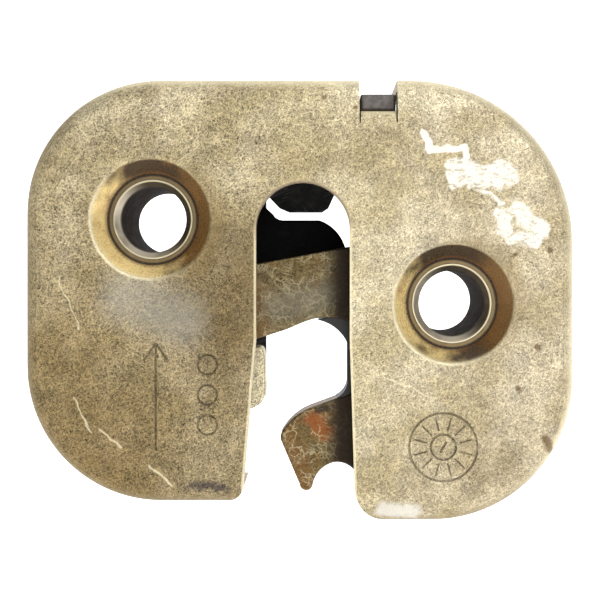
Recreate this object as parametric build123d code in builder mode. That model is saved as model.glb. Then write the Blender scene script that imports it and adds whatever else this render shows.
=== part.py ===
"""Right-hand rotary-claw door latch, in millimetres.

A pressed cover and a flat rear plate hold a claw and a pawl, which turn on two hollow bushes that
are also the latch's screw holes. Levers and their springs sit behind the rear plate.
X runs across the latch, Z up, and Y from the front face to the rear. The origin is midway between
the two screw bores, in the plane of the front face.
"""

from build123d import *
from math import acos, atan2, cos, degrees, radians, sin, sqrt
import os

os.makedirs("parts", exist_ok=True)

# ---------------------------------------------------------------- driving dimensions
# Screw bores and the bushes round them
bore_spacing_x = 42.36
bore_spacing_z = 11.9
bore_r = 4.65
bush_r = 6.2                # spigots at both ends of a bush
bush_bearing_r = 6.9        # the stretch that the claw or the pawl turns on
bush_flange_r = 7.3         # swaged rear end
bush_mouth_chamfer = 0.8

# Outline of the latch, measured from the origin
left_reach = 38.9
right_reach = 38.2
top_reach = 25.6
left_leg_reach = 33.8
right_leg_reach = 36.5
top_left_r = 18.8
top_right_r = 22.9
bottom_left_r = 19.1
bottom_right_r = 20.0
left_mouth_r = 2.7
right_mouth_r = 5.0

# Striker slot in the cover
slot_width = 13.1
slot_mid = 0.12
slot_arch_z = 4.45
slot_flare_z = -10.7
left_flare = 1.75
right_flare = 0.65

# Layers from the front face to the rear
sheet = 1.5
bend_r = 2.4
dimple_rim_r = 8.45
dimple_depth = 2.4
dimple_floor = 3.7
claw_front = 4.3
claw_thick = 4.5
case_depth = 14.6
rear_thick = 2.0
flange_thick = 0.9
lever_thick = 2.0
washer_thick = 0.3

# Fits
turn_fit = 0.06             # radial, between a bush or rivet and what turns on it
seat_fit = 0.02             # radial, between a pin and the plate it is fixed in
side_gap = 0.05             # axial, beside a piece that turns

# Claw and its plastic lining
claw_hub_r = 10.6
claw_end_r = 28.8           # outer end of the arm, from the claw's axis
throat_r = 5.8
throat_x = 4.0
throat_z = -13.9
lining_x = 6.4
lining_proud = 0.6

# Pawl and its drive pin
pawl_hub_r = 9.6
pawl_open = 25.5            # degrees
nose_clear = 1.0            # between the arm's tooth and the pawl's nose when shut
nose_catch = 1.0            # how far the nose reaches under the tooth
pin_orbit = 12.5            # from the pawl's axis to its drive pin
pin_angle = -100.0
pin_r = 1.75
pin_play = 0.25

# Locating lug of the rear plate and the notch of the cover that it stands in
lug_x = 10.7
lug_width = 5.0
lug_z = 22.5
lug_thick = 2.3
lug_front = 1.8
notch_gap = 0.17
tab_thick = 1.5
tab_depth = 7.0

# Marks stamped in the cover
arrow_x = -20.4
arrow_foot = -26.4
arrow_length = 15.0
arrow_head = 3.0
ring_x = -13.2
ring_r = 1.35
dial_x = 19.7
dial_z = -25.9
dial_r = 4.75
dial_hub_r = 1.75
groove = 0.32
groove_depth = 0.16

# Window in the cover that the open claw swings out of
claw_window_right = 27.0
claw_window_front = 3.2

# Rear plate: how far inside the cover's outline, its slot, and the tongue that the buffer covers
plate_inset = 0.3
rear_slot_left = -5.85
rear_slot_right = 7.2
rear_mouth_left = -10.4
rear_mouth_right = 10.2
tongue_z = 7.6

# Peg that holds the buffer
peg_x = -8.8
peg_z = 1.6
peg_r = 1.7
peg_head_r = 2.6

# Levers behind the rear plate
release_arm = 16.0          # from the release rivet to the pawl's pin, half way through the stroke
fork_reach = 3.6
prong = 2.2
rod_hole_r = 2.1
lever_eye_r = 4.6
rivet_r = 2.8
rivet_shank_r = 2.2
rivet_head_r = 4.7
rivet_head = 1.2
lock_x = 4.0
lock_z = 17.5
rod_reach = 18.0
rod_angle = -22.0
lock_arm = 17.0
lock_rod_angle = -14.0
lock_tail = 9.0
lock_tail_angle = 160.0

# Springs: wire radius, pitch and coil radius
claw_wire_r = 0.75
pawl_wire_r = 0.6
small_wire_r = 0.45
leg_rise = 0.45             # room for a rear leg, which slopes rearward like its coil
post_r = 1.5
post_head_r = 2.6
post_head = 0.8
post_stand = 2.4            # how far a post stands into the case
pawl_turns = 3.05
pawl_leg = 12.6
pawl_post_leg = 11.0
claw_turns = 2.05
claw_leg_start = 75.0
claw_leg = 9.0
claw_post_leg = 11.0
release_leg_angle = 0.0     # where the leg on the lever leaves the coil
release_post_angle = -45.0  # where the leg on the post leaves it
release_leg = 6.5
release_post_leg = 4.0
release_spring_room = 3.6   # behind the levers, for their springs
lock_coil_r = 2.8
lever_peg_r = 0.9           # peg of a lever and post beside it that a lever spring's legs bear on
leg_gap = 0.05              # between a leg and what it bears on

# Rounded edges of the stamped plates
claw_edge = 0.35
lever_edge = 0.3
plate_edge = 0.35

# ---------------------------------------------------------------- values worked out from them
claw_x = bore_spacing_x / 2
claw_z = -bore_spacing_z / 2
pawl_x = -bore_spacing_x / 2
pawl_z = bore_spacing_z / 2
bush_axes = [(claw_x, claw_z), (pawl_x, pawl_z)]
slot_r = slot_width / 2
slot_left = slot_mid - slot_r
slot_right = slot_mid + slot_r
claw_rear = claw_front + claw_thick
rear_face = case_depth + rear_thick
bush_front = dimple_depth - side_gap
bush_end = rear_face + flange_thick
lever_front = rear_face + washer_thick + side_gap
lever_rear = lever_front + lever_thick
peg_end = lever_rear + 1.6
post_end = lever_rear + release_spring_room + 0.9
tooth_z = claw_z - 5.35
nose_top = tooth_z - nose_clear
notch_width = lug_width + 2 * notch_gap
lug_bottom = lug_z - lug_thick / 2
tab_top = lug_bottom - 0.2
tab_bottom = tab_top - tab_thick
base = (Align.CENTER, Align.CENTER, Align.MIN)


def layer(depth):
    """The plane at a depth behind the front face, with its x along X and its y along Z."""
    return Plane.XZ.offset(-depth)


def along_y(x, z, depth):
    """A place at a depth, turned so that a cylinder or cone made there runs to the rear."""
    return Location((x, depth, z), (-90, 0, 0))


def on_circle(centre_x, centre_z, radius, angle):
    """The point of a circle at an angle in degrees, from +X towards +Z."""
    return (centre_x + radius * cos(radians(angle)), centre_z + radius * sin(radians(angle)))


def rim_edges(body, depth):
    """The edges of a plate that lie in the face at a depth."""
    return body.edges().filter_by_position(Axis.Y, depth - 0.01, depth + 0.01)


def end_arc_x(z, radius):
    """Where a circle round the claw's axis, on its left side, is at the height z."""
    return claw_x - sqrt(radius**2 - (z - claw_z) ** 2)


# The drive pin's stroke, and the release rivet on the line that halves it
pin_x, pin_z = on_circle(pawl_x, pawl_z, pin_orbit, pin_angle)
pin_mid_angle = pin_angle - pawl_open / 2
release_x, release_z = on_circle(pawl_x, pawl_z, pin_orbit + release_arm, pin_mid_angle)
release_angle = degrees(atan2(pin_z - release_z, pin_x - release_x))


def outline(inset):
    """The latch's outline without its slot, drawn in by inset."""
    corners = [
        ((-left_reach, top_reach), top_left_r),
        ((right_reach, top_reach), top_right_r),
        ((right_reach, -right_leg_reach), bottom_right_r),
        ((-left_reach, -left_leg_reach), bottom_left_r),
    ]
    with BuildSketch() as shape:
        with BuildLine():
            Polyline(
                (-left_reach, top_reach),
                (right_reach, top_reach),
                (right_reach, -right_leg_reach),
                (slot_right - 1, -right_leg_reach),
                (slot_left + 1, -left_leg_reach),
                (-left_reach, -left_leg_reach),
                close=True,
            )
        make_face()
        for corner, radius in corners:
            fillet(shape.vertices().sort_by_distance(corner)[0], radius)
        if inset:
            offset(amount=-inset, kind=Kind.INTERSECTION)
    return shape.sketch


def cover_slot():
    """The striker slot of the cover: an arch on top, sides that flare, and rounded mouth corners."""
    left_foot = (slot_left - left_flare, left_mouth_r - left_leg_reach)
    right_foot = (slot_right + right_flare, right_mouth_r - right_leg_reach)
    left_end = (left_foot[0] - left_mouth_r, -left_leg_reach)
    right_end = (right_foot[0] + right_mouth_r, -right_leg_reach)
    below = -right_leg_reach - 5
    with BuildSketch() as shape:
        with BuildLine():
            Polyline(left_foot, (slot_left, slot_flare_z), (slot_left, slot_arch_z))
            ThreePointArc(
                (slot_left, slot_arch_z), (slot_mid, slot_arch_z + slot_r), (slot_right, slot_arch_z)
            )
            Polyline((slot_right, slot_arch_z), (slot_right, slot_flare_z), right_foot)
            TangentArc(right_foot, right_end, tangent=(0, -1))
            Polyline(right_end, (right_end[0], below), (left_end[0], below), left_end)
            TangentArc(left_end, left_foot, tangent=(1, 0))
        make_face()
    return shape.sketch


# ---------------------------------------------------------------- front cover
def stamped_marks():
    """Grooves of the plain marks: an arrow, three rings and a date dial of twelve spokes."""
    with BuildSketch() as shape:
        with Locations((arrow_x, arrow_foot + arrow_length / 2)):
            Rectangle(groove, arrow_length)
        for side in (-1, 1):
            with Locations(Location((arrow_x, arrow_foot + arrow_length), side * 35)):
                Rectangle(groove, arrow_head, align=(Align.CENTER, Align.MAX))
        with Locations([(ring_x, pitch) for pitch in (-14.4, -18.6, -22.8)]):
            Circle(ring_r + groove / 2)
            Circle(ring_r - groove / 2, mode=Mode.SUBTRACT)
        with Locations((dial_x, dial_z)):
            Circle(dial_r + groove / 2)
            Circle(dial_r - groove / 2, mode=Mode.SUBTRACT)
            Circle(dial_hub_r + groove / 2)
            Circle(dial_hub_r - groove / 2, mode=Mode.SUBTRACT)
            with PolarLocations((dial_hub_r + dial_r) / 2, 12, start_angle=15):
                Rectangle(dial_r - dial_hub_r - 1.1, groove * 0.8)
            Rectangle(groove, dial_hub_r, rotation=-30)
    return shape.sketch


with BuildPart() as front_cover:
    with BuildSketch(layer(0)):
        add(outline(0))
    extrude(amount=-case_depth)
    fillet(front_cover.faces().sort_by(Axis.Y)[0].edges(), bend_r)
    with BuildSketch(layer(sheet)):
        add(outline(sheet))
    extrude(amount=-case_depth, mode=Mode.SUBTRACT)
    floor = front_cover.faces().filter_by(Axis.Y).sort_by(Axis.Y)[1]
    fillet(floor.edges(), bend_r - sheet)
    # dimples: a cone pressed rearward round each bore
    with Locations([along_y(x, z, sheet / 2) for x, z in bush_axes]):
        Cone(
            dimple_rim_r + 1.4,
            bush_bearing_r + 0.5,
            dimple_floor - sheet / 2,
            align=base,
        )
    with Locations([along_y(x, z, 0) for x, z in bush_axes]):
        Cone(dimple_rim_r, bush_r + 0.15, dimple_depth, align=base, mode=Mode.SUBTRACT)
        Cylinder(bush_r + seat_fit, dimple_floor + 1, align=base, mode=Mode.SUBTRACT)
    rims = front_cover.edges().filter_by(GeomType.CIRCLE)
    rims = rims.filter_by(lambda rim: abs(rim.radius - dimple_rim_r) < 0.01)
    fillet(rims, 0.5)
    # striker slot, notch for the rear plate's lug, and the window that the open claw swings out of
    with BuildSketch(layer(-1)):
        add(cover_slot())
    extrude(amount=-case_depth - 2, mode=Mode.SUBTRACT)
    with BuildSketch(layer(-1)):
        with Locations((lug_x, tab_bottom)):
            Rectangle(notch_width, top_reach - tab_bottom + 1, align=(Align.CENTER, Align.MIN))
    extrude(amount=-case_depth - 2, mode=Mode.SUBTRACT)
    with BuildSketch(layer(claw_window_front)):
        with Locations((slot_right, -right_leg_reach - 1)):
            Rectangle(claw_window_right - slot_right, 6, align=Align.MIN)
    extrude(amount=-case_depth, mode=Mode.SUBTRACT)
    # tab folded rearward under the lug, with a slit on each side of its root
    with BuildSketch(layer(0)):
        with Locations((lug_x, tab_bottom)):
            Rectangle(lug_width - 0.1, tab_thick, align=(Align.CENTER, Align.MIN))
    extrude(amount=-tab_depth)
    fold = front_cover.edges().filter_by(Axis.X).sort_by_distance((lug_x, 0, tab_top))[0]
    fillet(fold, tab_thick - 0.15)
    with BuildSketch(layer(-1)):
        for side in (-1, 1):
            with Locations((lug_x + side * (notch_width / 2 - notch_gap / 2), tab_bottom - 0.3)):
                Rectangle(notch_gap, 1, align=(Align.CENTER, Align.MIN))
    extrude(amount=-sheet - 1.5, mode=Mode.SUBTRACT)
    with BuildSketch(layer(0)):
        add(stamped_marks())
    extrude(amount=-groove_depth, mode=Mode.SUBTRACT)

front_cover.part.label = "front_cover"
export_step(front_cover.part, "parts/front_cover.step")


# ---------------------------------------------------------------- bushes
def bush(x, z):
    """A hollow bush: spigots at both ends, a bearing between them, and a swaged rear flange."""
    with BuildPart() as body:
        with Locations(along_y(x, z, bush_front)):
            Cylinder(bush_r, bush_end - bush_front, align=base)
        with Locations(along_y(x, z, dimple_floor)):
            Cylinder(bush_bearing_r, case_depth - dimple_floor, align=base)
        with Locations(along_y(x, z, rear_face)):
            Cylinder(bush_flange_r, flange_thick, align=base)
        with Locations(along_y(x, z, bush_front - 1)):
            Cylinder(bore_r, bush_end - bush_front + 2, align=base, mode=Mode.SUBTRACT)
        mouth = body.edges().filter_by(GeomType.CIRCLE).group_by(Axis.Y)[0]
        chamfer(mouth.sort_by(SortBy.RADIUS)[0], bush_mouth_chamfer)
        rear = body.edges().filter_by(GeomType.CIRCLE).group_by(Axis.Y)[-1]
        fillet(rear.sort_by(SortBy.RADIUS)[-1], flange_thick / 2)
    return body.part


claw_bush = bush(claw_x, claw_z)
claw_bush.label = "claw_bush"
export_step(claw_bush, "parts/claw_bush.step")

pawl_bush = bush(pawl_x, pawl_z)
pawl_bush.label = "pawl_bush"
export_step(pawl_bush, "parts/pawl_bush.step")


# ---------------------------------------------------------------- thrust washers
def thrust_washer(x, z, hub_r):
    """A thin washer between a dimple's floor and the piece that turns behind it."""
    room = claw_front - dimple_floor
    with BuildPart() as body:
        with Locations(along_y(x, z, dimple_floor)):
            Cylinder(hub_r - 0.8, room - side_gap, align=base)
        with Locations(along_y(x, z, dimple_floor - 1)):
            Cylinder(bush_bearing_r + seat_fit, room + 2, align=base, mode=Mode.SUBTRACT)
    return body.part


claw_washer = thrust_washer(claw_x, claw_z, claw_hub_r)
claw_washer.label = "claw_washer"
export_step(claw_washer, "parts/claw_washer.step")

pawl_washer = thrust_washer(pawl_x, pawl_z, pawl_hub_r)
pawl_washer.label = "pawl_washer"
export_step(pawl_washer, "parts/pawl_washer.step")


# ---------------------------------------------------------------- claw and its lining
tooth = (end_arc_x(tooth_z, claw_end_r), tooth_z)
arm_top_left = (end_arc_x(-0.4, claw_end_r), -0.4)
throat_top = on_circle(throat_x, throat_z, throat_r, 94)
throat_back = on_circle(throat_x, throat_z, throat_r, 0)
throat_foot = on_circle(throat_x, throat_z, throat_r, -82)
hook_shoulder = (-2.75, -24.1)
hook_flank = (-3.0, -26.0)
hook_tip = (0.45, -32.9)

with BuildPart() as claw:
    with BuildSketch(layer(claw_front)):
        with BuildLine():
            Line((claw_x - 2, claw_z + claw_hub_r * 0.982), arm_top_left)
            ThreePointArc(arm_top_left, (claw_x - claw_end_r, claw_z), tooth)
            Line(tooth, (-2.6, -9.85))
            Spline((-2.6, -9.85), throat_top, tangents=[(1, 0.35), (1, -0.1)])
            ThreePointArc(throat_top, throat_back, throat_foot)
            Line(throat_foot, (1.3, -20.95))
            ThreePointArc((1.3, -20.95), (-1.05, -22.25), hook_shoulder)
            ThreePointArc(hook_shoulder, (-3.17, -25.0), hook_flank)
            Line(hook_flank, (-0.45, -32.0))
            ThreePointArc((-0.45, -32.0), hook_tip, (1.45, -32.0))
            ThreePointArc((1.45, -32.0), (2.5, -30.0), (4.6, -28.85))
            ThreePointArc((4.6, -28.85), (6.2, -29.1), (7.3, -29.9))
            Polyline((7.3, -29.9), (11.0, -29.6), (claw_x - 3.7, claw_z - 15.0))
            Line((claw_x - 3.7, claw_z - 15.0), (claw_x + claw_hub_r * 0.9, claw_z - 3))
            Line((claw_x + claw_hub_r * 0.9, claw_z - 3), (claw_x - 2, claw_z + claw_hub_r * 0.982))
        make_face()
        with Locations((claw_x, claw_z)):
            Circle(claw_hub_r)
    extrude(amount=-claw_thick)
    with Locations(along_y(claw_x, claw_z, claw_front - 1)):
        Cylinder(bush_bearing_r + turn_fit, claw_thick + 2, align=base, mode=Mode.SUBTRACT)
    for face_depth in (claw_front, claw_rear):
        fillet(rim_edges(claw, face_depth), claw_edge)

claw.part.label = "claw"
export_step(claw.part, "parts/claw.step")

lining_top = (2.2, throat_z + 5.5)
lining_shoulder = (lining_x, throat_z + 2.2)
lining_heel = (lining_x, throat_z - 3.0)

with BuildPart() as claw_sleeve:
    with BuildSketch(layer(claw_front + 0.25)):
        with BuildLine():
            Line(throat_top, lining_top)
            ThreePointArc(lining_top, (5.0, throat_z + 4.1), lining_shoulder)
            Line(lining_shoulder, lining_heel)
            ThreePointArc(lining_heel, (6.0, throat_z - 4.7), throat_foot)
            ThreePointArc(throat_foot, throat_back, throat_top)
        make_face()
    extrude(amount=-claw_thick - lining_proud + 0.25)

claw_sleeve.part.label = "claw_sleeve"
export_step(claw_sleeve.part, "parts/claw_sleeve.step")

# ---------------------------------------------------------------- pawl and its drive pin
nose_right = end_arc_x(nose_top, claw_end_r - nose_catch)
neck_x = claw_x - claw_end_r - 1.3

with BuildPart() as pawl:
    with BuildSketch(layer(claw_front)):
        with BuildLine():
            Polyline(
                (pawl_x + pawl_hub_r * 0.93, pawl_z - 3),
                (neck_x - 0.6, claw_z + 2),
                (neck_x, claw_z - 3),
                (neck_x, nose_top),
                (nose_right - 0.5, nose_top),
            )
            Spline(
                (nose_right - 0.5, nose_top),
                (nose_right + 0.45, nose_top - 1.5),
                tangents=[(1, 0), (0.15, -1)],
            )
            Line((nose_right + 0.45, nose_top - 1.5), (nose_right + 0.55, nose_top - 6))
            Spline(
                (nose_right + 0.55, nose_top - 6),
                (nose_right - 2, nose_top - 9),
                tangents=[(0, -1), (-1, -0.25)],
            )
            Polyline(
                (nose_right - 2, nose_top - 9),
                (nose_right - 7, nose_top - 9.6),
                on_circle(pawl_x, pawl_z, pin_orbit + 7, pin_angle + 12),
                on_circle(pawl_x, pawl_z, pin_orbit + 4, pin_angle - 10),
                on_circle(pawl_x, pawl_z, pawl_hub_r, pin_angle - 60),
                (pawl_x + pawl_hub_r * 0.93, pawl_z - 3),
            )
        make_face()
        with Locations((pawl_x, pawl_z)):
            Circle(pawl_hub_r)
    extrude(amount=-claw_thick)
    with Locations(along_y(pawl_x, pawl_z, claw_front - 1)):
        Cylinder(bush_bearing_r + turn_fit, claw_thick + 2, align=base, mode=Mode.SUBTRACT)
    for face_depth in (claw_front, claw_rear):
        fillet(rim_edges(pawl, face_depth), claw_edge)
    with Locations(along_y(pin_x, pin_z, claw_front - 1)):
        Cylinder(pin_r + seat_fit, claw_thick + 2, align=base, mode=Mode.SUBTRACT)

pawl.part.label = "pawl"
export_step(pawl.part, "parts/pawl.step")

with BuildPart() as pawl_pin:
    with Locations(along_y(pin_x, pin_z, claw_front)):
        Cylinder(pin_r, lever_rear + 0.8 - claw_front, align=base)
    chamfer(pawl_pin.edges().filter_by(GeomType.CIRCLE).sort_by(Axis.Y)[-1], 0.4)

pawl_pin.part.label = "pawl_pin"
export_step(pawl_pin.part, "parts/pawl_pin.step")


# ---------------------------------------------------------------- torsion springs
def torsion_spring(radius, wire_r, turns, rear_leg, front_leg):
    """A coil on the Z axis from angle 0, turning towards +Y as it rises, with straight legs."""
    pitch = wire_r * 2.1
    with BuildLine() as path:
        coil = Helix(pitch, pitch * turns, radius)
        Line(coil @ 0 - (coil % 0) * rear_leg, coil @ 0)
        Line(coil @ 1, coil @ 1 + (coil % 1) * front_leg)
    with BuildPart() as body:
        with BuildSketch(Plane(origin=path.line @ 0, z_dir=path.line % 0)):
            Circle(wire_r)
        sweep(path=path.line)
    return body.part


def spring_seat(x, z, rear_depth, angle):
    """The plane of a spring's rear turn: its axis points to the front, its start is at angle."""
    turn = radians(angle)
    return Plane(origin=(x, rear_depth, z), x_dir=(cos(turn), 0, sin(turn)), z_dir=(0, -1, 0))


def tangent_lead(orbit, radius, clear):
    """Angle from a peg back to where a leg that passes it on the outside leaves the coil."""
    return degrees(acos((radius - clear) / orbit))


def leg_peg(x, z, radius, angle, reach, clear):
    """A peg on the inner side of a coil's rear leg, reach back from where the leg leaves it."""
    start = on_circle(x, z, radius - clear, angle)
    turn = radians(angle)
    return (start[0] + reach * sin(turn), start[1] - reach * cos(turn))


pawl_coil_r = bush_bearing_r + pawl_wire_r + 0.7
pawl_leg_end = pin_angle - tangent_lead(pin_orbit, pawl_coil_r, pin_r + pawl_wire_r + 0.1)
pawl_leg_start = pawl_leg_end - 360 * pawl_turns

pawl_spring = spring_seat(pawl_x, pawl_z, case_depth - pawl_wire_r - leg_rise, pawl_leg_start)
pawl_spring = pawl_spring * torsion_spring(
    pawl_coil_r, pawl_wire_r, pawl_turns, pawl_post_leg, pawl_leg
)
pawl_spring.label = "pawl_spring"
export_step(pawl_spring, "parts/pawl_spring.step")

claw_coil_r = bush_bearing_r + claw_wire_r + 0.8

claw_spring = spring_seat(claw_x, claw_z, case_depth - claw_wire_r - leg_rise, claw_leg_start)
claw_spring = claw_spring * torsion_spring(
    claw_coil_r, claw_wire_r, claw_turns, claw_post_leg, claw_leg
)
claw_spring.label = "claw_spring"
export_step(claw_spring, "parts/claw_spring.step")


# ---------------------------------------------------------------- spring posts
def spring_post(x, z, front_depth):
    """A post riveted in the rear plate, standing forward into the case for a spring's leg."""
    with BuildPart() as body:
        with Locations(along_y(x, z, front_depth)):
            Cylinder(post_r, rear_face - front_depth, align=base)
        with Locations(along_y(x, z, rear_face)):
            Cylinder(post_head_r, post_head, align=base)
        fillet(body.edges().filter_by(GeomType.CIRCLE).sort_by(Axis.Y)[-1], post_head / 2)
    return body.part


pawl_post_at = leg_peg(
    pawl_x, pawl_z, pawl_coil_r, pawl_leg_start, pawl_post_leg - 1.5, post_r + pawl_wire_r + 0.1
)
claw_post_at = leg_peg(
    claw_x, claw_z, claw_coil_r, claw_leg_start, claw_post_leg - 1.5, post_r + claw_wire_r + 0.1
)

pawl_spring_post = spring_post(pawl_post_at[0], pawl_post_at[1], case_depth - post_stand)
pawl_spring_post.label = "pawl_spring_post"
export_step(pawl_spring_post, "parts/pawl_spring_post.step")

claw_spring_post = spring_post(claw_post_at[0], claw_post_at[1], case_depth - post_stand)
claw_spring_post.label = "claw_spring_post"
export_step(claw_spring_post, "parts/claw_spring_post.step")

# ---------------------------------------------------------------- stop spacer
stop_x = claw_x + 7.9
stop_z = claw_z - 20.2
stop_r = 2.0

with BuildPart() as stop_spacer:
    with Locations(along_y(stop_x, stop_z, sheet)):
        Cylinder(stop_r, rear_face - sheet, align=base)
    with Locations(along_y(stop_x, stop_z, rear_face)):
        Cylinder(post_head_r + 0.6, post_head, align=base)
    fillet(stop_spacer.edges().filter_by(GeomType.CIRCLE).sort_by(Axis.Y)[-1], post_head / 2)

stop_spacer.part.label = "stop_spacer"
export_step(stop_spacer.part, "parts/stop_spacer.step")

# ---------------------------------------------------------------- buffer
buffer_front = claw_rear + lining_proud

with BuildPart() as buffer:
    with BuildSketch(layer(buffer_front)) as buffer_face:
        with BuildLine():
            Polyline((slot_left - 4.6, 8.3), (-5.7, 8.1), (-4.7, 7.2))
            ThreePointArc((-4.7, 7.2), (-3.9, 6.4), (-3.0, 6.15))
            Line((-3.0, 6.15), (2.4, 6.15))
            ThreePointArc((2.4, 6.15), (4.7, 4.7), (6.2, 2.15))
            Polyline((6.2, 2.15), (10.2, 0.4), (10.2, -3.2), (slot_left - 4.6, -3.6))
            Line((slot_left - 4.6, -3.6), (slot_left - 4.6, 8.3))
        make_face()
        with Locations((1.2, -0.8)):
            SlotOverall(12, 1.4, mode=Mode.SUBTRACT)
    extrude(amount=-(case_depth - buffer_front))
    fillet(rim_edges(buffer, buffer_front), 0.4)
    with Locations(along_y(peg_x, peg_z, case_depth)):
        Cylinder(peg_r, rear_thick, align=base)
    with Locations(along_y(peg_x, peg_z, rear_face)):
        Cone(peg_head_r, peg_r, flange_thick, align=base)

buffer.part.label = "buffer"
export_step(buffer.part, "parts/buffer.step")

# ---------------------------------------------------------------- lever springs' places
release_coil_r = rivet_r + small_wire_r + 0.5
lock_coil_x = lock_x - 14.1
lock_coil_z = lock_z - 4.2
lock_post_x = lock_x - 19.8
lock_post_z = lock_z + 2.6
lock_peg_x, lock_peg_z = on_circle(lock_x, lock_z, lock_tail, lock_tail_angle)


def outer_peg(x, z, radius, angle, reach, way):
    """A peg on the outer side of a straight leg, reach along it; way is 1 for the front leg."""
    clear = lever_peg_r + small_wire_r + leg_gap
    start = on_circle(x, z, radius + clear, angle)
    turn = radians(angle)
    return (start[0] - way * reach * sin(turn), start[1] + way * reach * cos(turn))


def aimed_leg(x, z, radius, peg_x, peg_z, way):
    """The angle where a leg that ends at a peg leaves a coil, and the leg's length."""
    reach = sqrt((peg_x - x) ** 2 + (peg_z - z) ** 2)
    lead = acos(radius / reach)
    towards = atan2(peg_z - z, peg_x - x)
    return degrees(towards - way * lead), reach * sin(lead)


release_peg_at = outer_peg(release_x, release_z, release_coil_r, release_leg_angle, release_leg, 1)
release_post_at = outer_peg(
    release_x, release_z, release_coil_r, release_post_angle, release_post_leg, -1
)

# ---------------------------------------------------------------- rear plate
pin_sweep = CenterArc((pawl_x, pawl_z), pin_orbit, pin_angle, -pawl_open)

with BuildPart() as rear_plate:
    with BuildSketch(layer(case_depth)):
        add(outline(plate_inset))
        with Locations([(x, z) for x, z in bush_axes]):
            Circle(bush_r + seat_fit, mode=Mode.SUBTRACT)
        with Locations([pawl_post_at, claw_post_at]):
            Circle(post_r + seat_fit, mode=Mode.SUBTRACT)
        with Locations([(release_x, release_z), (lock_x, lock_z)]):
            Circle(rivet_shank_r + seat_fit, mode=Mode.SUBTRACT)
        with Locations((stop_x, stop_z)):
            Circle(stop_r + seat_fit, mode=Mode.SUBTRACT)
        with Locations([release_post_at, (lock_post_x, lock_post_z)]):
            Circle(lever_peg_r + seat_fit, mode=Mode.SUBTRACT)
        with Locations((peg_x, peg_z)):
            Circle(peg_r + seat_fit, mode=Mode.SUBTRACT)
        SlotArc(pin_sweep, 2 * (pin_r + 0.6), mode=Mode.SUBTRACT)
        with Locations((lug_x, lug_bottom)):
            Rectangle(lug_width + 2, 8, align=(Align.CENTER, Align.MIN), mode=Mode.SUBTRACT)
    extrude(amount=-rear_thick)
    with BuildSketch(layer(case_depth - 1)):
        with BuildLine():
            Polyline(
                (rear_slot_left, 10.4),
                (-3.8, 8.25),
                (-2.3, tongue_z),
                (2.75, tongue_z),
                (3.7, 8.25),
                (4.6, 10.2),
                (5.4, 11.4),
                (rear_slot_right, 11.4),
                (rear_slot_right, -20.5),
                (rear_mouth_right, -24.5),
                (rear_mouth_right, -right_leg_reach - 1),
                (rear_mouth_left, -right_leg_reach - 1),
                (rear_mouth_left, -24.5),
                (rear_slot_left, -20.4),
                close=True,
            )
        make_face()
    extrude(amount=-rear_thick - 2, mode=Mode.SUBTRACT)
    # lug folded forward
    with BuildSketch(layer(lug_front)):
        with Locations((lug_x, lug_z)):
            Rectangle(lug_width, lug_thick)
    extrude(amount=-(rear_face - lug_front))
    lug_fold = rear_plate.edges().filter_by(Axis.X).sort_by_distance(
        (lug_x, rear_face, lug_z + lug_thick / 2)
    )[0]
    fillet(lug_fold, lug_thick / 2)
    outer = rear_plate.faces().filter_by(Axis.Y).sort_by(Axis.Y)[-1]
    fillet(outer.outer_wire().edges(), plate_edge)
    lug_tip = rear_plate.faces().filter_by(Axis.Y).sort_by(Axis.Y)[0]
    fillet(lug_tip.edges(), lug_thick / 5)

rear_plate.part.label = "rear_plate"
export_step(rear_plate.part, "parts/rear_plate.step")


# ---------------------------------------------------------------- pivot rivets and their washers
def pivot_rivet(x, z, bearing_end):
    """A shouldered rivet: an inner head, a shank in the rear plate, a bearing and an outer head."""
    with BuildPart() as body:
        with Locations(along_y(x, z, case_depth - rivet_head)):
            Cylinder(rivet_r + 0.8, rivet_head, align=base)
        with Locations(along_y(x, z, case_depth)):
            Cylinder(rivet_shank_r, rear_thick, align=base)
        with Locations(along_y(x, z, rear_face)):
            Cylinder(rivet_r, bearing_end - rear_face, align=base)
        with Locations(along_y(x, z, bearing_end)):
            Cylinder(rivet_head_r, rivet_head, align=base)
        fillet(body.edges().filter_by(GeomType.CIRCLE).sort_by(Axis.Y)[-1], rivet_head * 0.7)
    return body.part


release_rivet = pivot_rivet(release_x, release_z, lever_rear + release_spring_room)
release_rivet.label = "release_rivet"
export_step(release_rivet, "parts/release_rivet.step")

lock_rivet = pivot_rivet(lock_x, lock_z, lever_rear + side_gap)
lock_rivet.label = "lock_rivet"
export_step(lock_rivet, "parts/lock_rivet.step")

with BuildPart() as lever_washers:
    with Locations(along_y(release_x, release_z, rear_face), along_y(lock_x, lock_z, rear_face)):
        Cylinder(rivet_head_r, washer_thick, align=base)
        Cylinder(rivet_r + seat_fit, washer_thick, align=base, mode=Mode.SUBTRACT)

lever_washers.part.label = "lever_washers"
export_step(lever_washers.part, "parts/lever_washers.step")

with BuildPart() as lever_spring_posts:
    post_places = [release_post_at, (lock_post_x, lock_post_z)]
    with Locations([along_y(x, z, case_depth) for x, z in post_places]):
        Cylinder(lever_peg_r, post_end - case_depth, align=base)
    with Locations([along_y(x, z, rear_face) for x, z in post_places]):
        Cylinder(lever_peg_r + 0.5, washer_thick, align=base)

lever_spring_posts.part.label = "lever_spring_posts"
export_step(lever_spring_posts.part, "parts/lever_spring_posts.step")

# ---------------------------------------------------------------- release lever
release_rod_x, release_rod_z = on_circle(release_x, release_z, rod_reach, rod_angle)
fork_half = pin_r + pin_play + prong

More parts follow.
